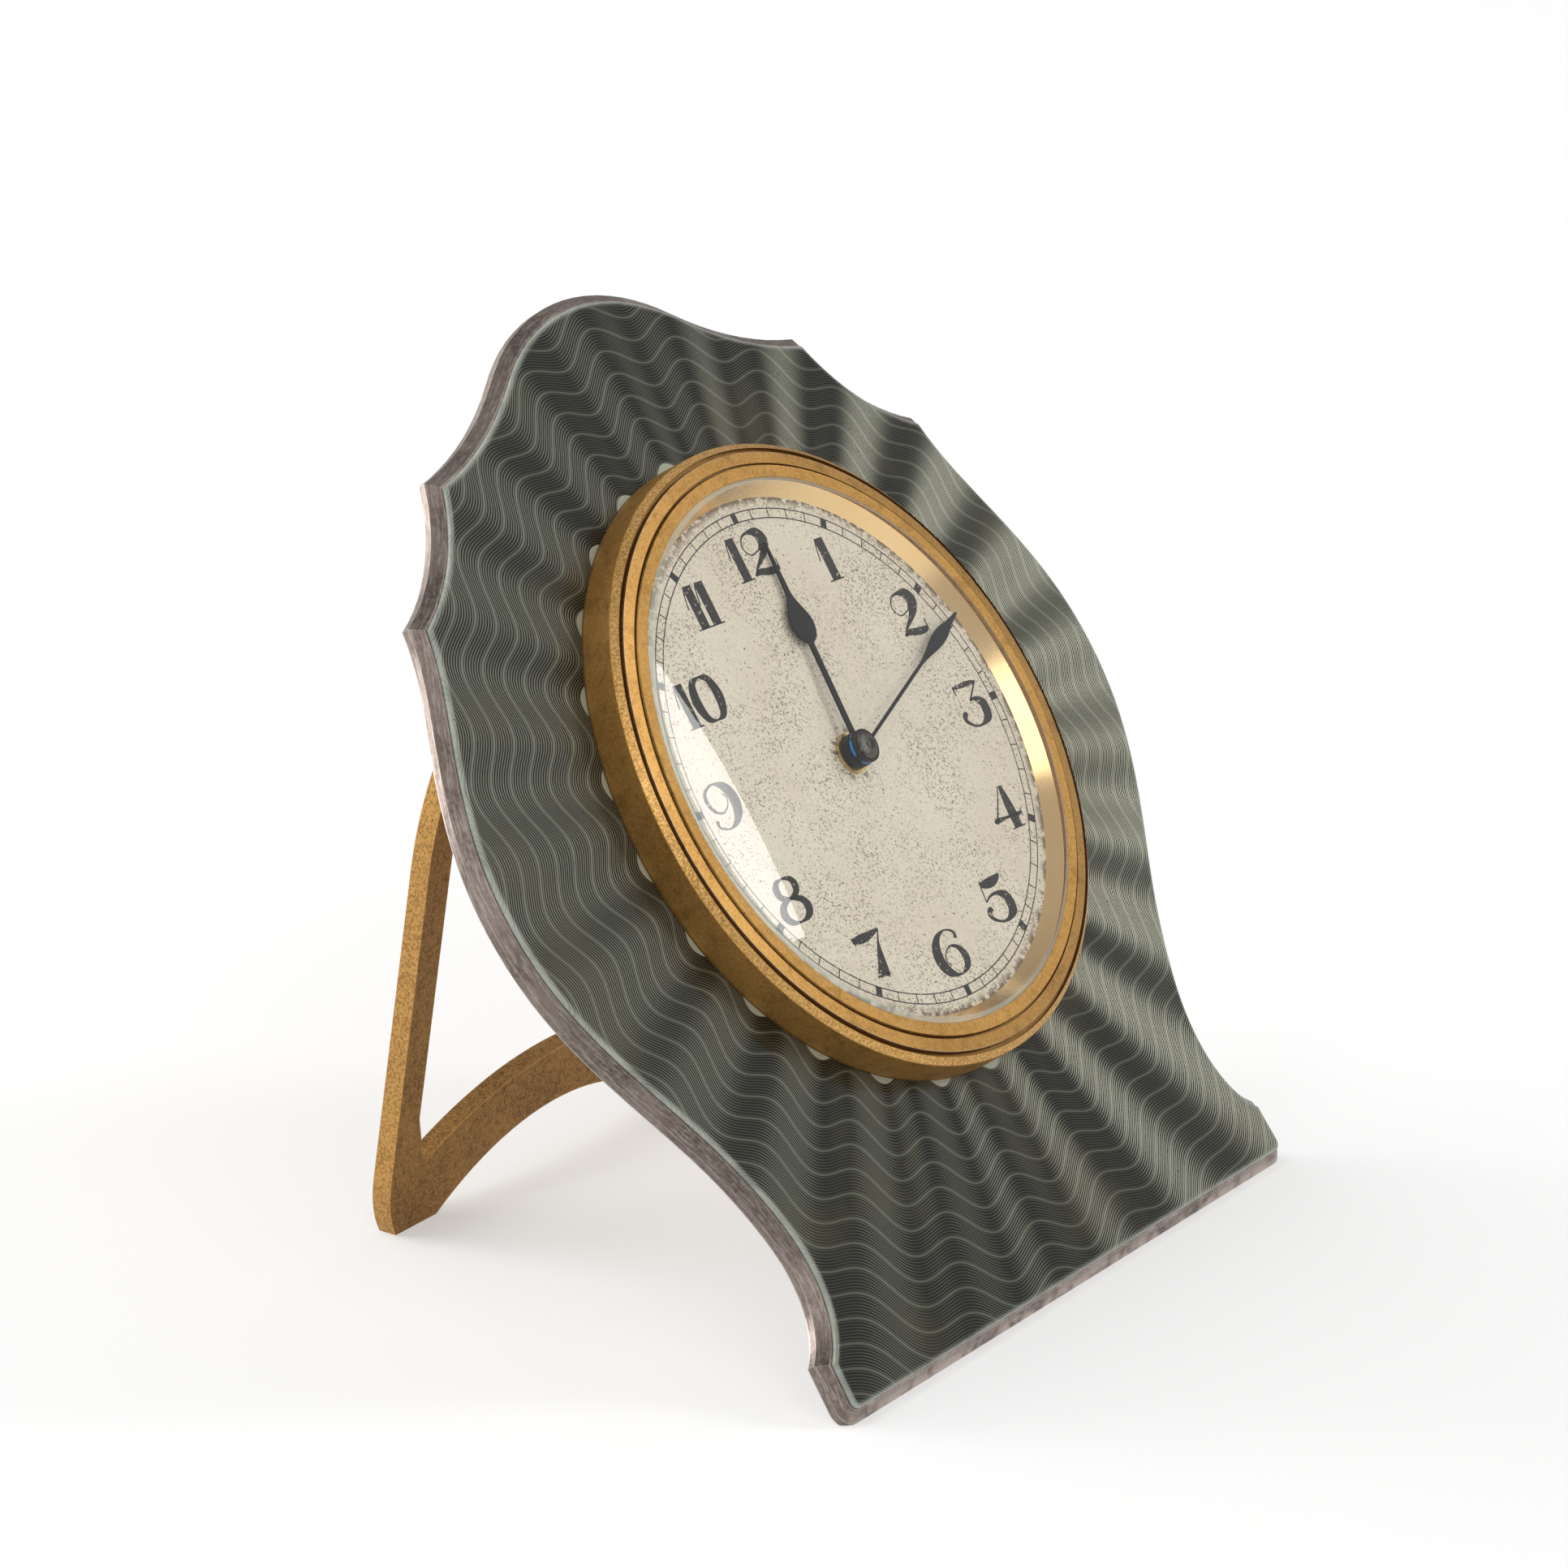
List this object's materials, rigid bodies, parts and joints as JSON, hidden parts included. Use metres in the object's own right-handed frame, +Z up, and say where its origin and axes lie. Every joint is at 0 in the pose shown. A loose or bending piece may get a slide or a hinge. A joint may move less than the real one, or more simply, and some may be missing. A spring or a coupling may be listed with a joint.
{
  "type": "pendulette clock",
  "caption": "Small strut clock with a shaped enamelled plate, gilt bezel, domed glass and a horseshoe strut that folds flat behind.",
  "frame": {"origin": "on the table, under the middle of the bounding box", "axes": "+Z up, +X to the viewer's right as the dial is read, -Y towards the viewer"},
  "size_m": [0.0886, 0.055, 0.0755],
  "materials": {
    "silver_rim": "tarnished brushed silver",
    "enamel": "glassy translucent enamel over engine turning",
    "gilt_brass": "satin gilding, worn",
    "polished_gilt": "polished gilding",
    "crystal_glass": "clear domed glass",
    "dial_paint": "matt cream, speckled with age",
    "steel": "satin steel",
    "blued_steel": "blued steel",
    "movement_brass": "bright brass",
    "case_gilt": "satin gilding"
  },
  "bodies": {
    "clock_body": {"silver_plate": "silver_rim", "enamel": "enamel", "bezel": "gilt_brass", "crystal": "crystal_glass", "reflector_ring": "polished_gilt", "dial": "dial_paint", "drum_case": "case_gilt", "ring_nut": "case_gilt", "rear_cover": "case_gilt", "hinge_leaf": "gilt_brass", "hinge_screws": "steel", "hinge_pin": "steel", "main_plate": "movement_brass", "back_plate": "movement_brass", "pillars": "movement_brass", "pillar_screws": "steel", "case_screws": "steel", "lever_cock": "movement_brass", "hairspring": "blued_steel", "hairspring_stud": "steel", "minute_stud": "steel"},
    "strut": {"strut": "gilt_brass"},
    "centre_arbor": {"centre_wheel": "movement_brass", "cannon_pinion": "steel", "minute_hand": "blued_steel", "hand_cap": "blued_steel", "setting_knob": "case_gilt"},
    "hour_work": {"hour_wheel": "movement_brass", "hour_hand": "blued_steel", "hand_collet": "movement_brass"},
    "minute_work": {"minute_wheel": "movement_brass"},
    "great_wheel": {"great_wheel": "movement_brass"},
    "barrel": {"barrel": "movement_brass", "barrel_cover": "movement_brass", "mainspring": "blued_steel"},
    "winding": {"winding_arbor": "steel", "ratchet_wheel": "steel", "winding_key": "case_gilt"},
    "click": {"click": "steel"},
    "third_wheel": {"third_wheel": "movement_brass"},
    "fourth_wheel": {"fourth_wheel": "movement_brass"},
    "escape_wheel": {"escape_wheel": "steel"},
    "pallet_lever": {"pallet_lever": "steel"},
    "balance": {"balance_wheel": "movement_brass"},
    "regulator": {"regulator": "steel"}
  },
  "joints": [
    {"name": "strut_fold", "type": "hinge", "parent": "clock_body", "child": "strut", "pos_m": [0.0017, 0.01743, 0.06148], "axis": [1, 0, 0], "range_deg": [-42.1, 0]},
    {"name": "hands_set", "type": "hinge", "parent": "clock_body", "child": "centre_arbor", "pos_m": [0.0017, -0.00187, 0.03948], "axis": [0, -0.8329, 0.5534], "continuous": true},
    {"name": "hour_turn", "type": "hinge", "parent": "clock_body", "child": "hour_work", "pos_m": [0.0017, -0.00187, 0.03948], "axis": [0, -0.8329, 0.5534], "continuous": true},
    {"name": "minute_wheel_turn", "type": "hinge", "parent": "clock_body", "child": "minute_work", "pos_m": [0.0077, -0.00187, 0.03948], "axis": [0, -0.8329, 0.5534], "continuous": true},
    {"name": "great_turn", "type": "hinge", "parent": "clock_body", "child": "great_wheel", "pos_m": [-0.00389, -0.003, 0.03778], "axis": [0, -0.8329, 0.5534], "continuous": true},
    {"name": "barrel_turn", "type": "hinge", "parent": "clock_body", "child": "barrel", "pos_m": [0.00074, -0.00727, 0.03136], "axis": [0, -0.8329, 0.5534], "continuous": true},
    {"name": "wind", "type": "hinge", "parent": "clock_body", "child": "winding", "pos_m": [0.00074, -0.00727, 0.03136], "axis": [0, -0.8329, 0.5534], "range_deg": [0, 1440]},
    {"name": "click_lift", "type": "hinge", "parent": "clock_body", "child": "click", "pos_m": [0.0063, -0.00873, 0.02915], "axis": [0, -0.8329, 0.5534], "range_deg": [0, 7]},
    {"name": "third_turn", "type": "hinge", "parent": "clock_body", "child": "third_wheel", "pos_m": [0.0044, 0.00072, 0.04337], "axis": [0, -0.8329, 0.5534], "continuous": true},
    {"name": "fourth_turn", "type": "hinge", "parent": "clock_body", "child": "fourth_wheel", "pos_m": [0.00363, 0.00313, 0.047], "axis": [0, -0.8329, 0.5534], "continuous": true},
    {"name": "escape_turn", "type": "hinge", "parent": "clock_body", "child": "escape_wheel", "pos_m": [-0.00009, 0.00238, 0.04587], "axis": [0, -0.8329, 0.5534], "continuous": true},
    {"name": "lever_swing", "type": "hinge", "parent": "clock_body", "child": "pallet_lever", "pos_m": [-0.0032, 0.00211, 0.04548], "axis": [0, -0.8329, 0.5534], "range_deg": [-5, 5]},
    {"name": "balance_swing", "type": "hinge", "parent": "clock_body", "child": "balance", "pos_m": [-0.0068, 0.00173, 0.04489], "axis": [0, -0.8329, 0.5534], "range_deg": [-150, 150]},
    {"name": "regulator_set", "type": "hinge", "parent": "clock_body", "child": "regulator", "pos_m": [-0.0068, 0.00173, 0.04489], "axis": [0, -0.8329, 0.5534], "range_deg": [-20, 20]}
  ],
  "couplings": [
    {"joint": "hour_turn", "follows": "hands_set", "ratio": 0.083333},
    {"joint": "minute_wheel_turn", "follows": "hands_set", "ratio": -0.33333},
    {"joint": "great_turn", "follows": "hands_set", "ratio": -0.16667},
    {"joint": "barrel_turn", "follows": "hands_set", "ratio": 0.020833},
    {"joint": "third_turn", "follows": "hands_set", "ratio": -8},
    {"joint": "fourth_turn", "follows": "hands_set", "ratio": 60},
    {"joint": "escape_turn", "follows": "hands_set", "ratio": -600}
  ]
}
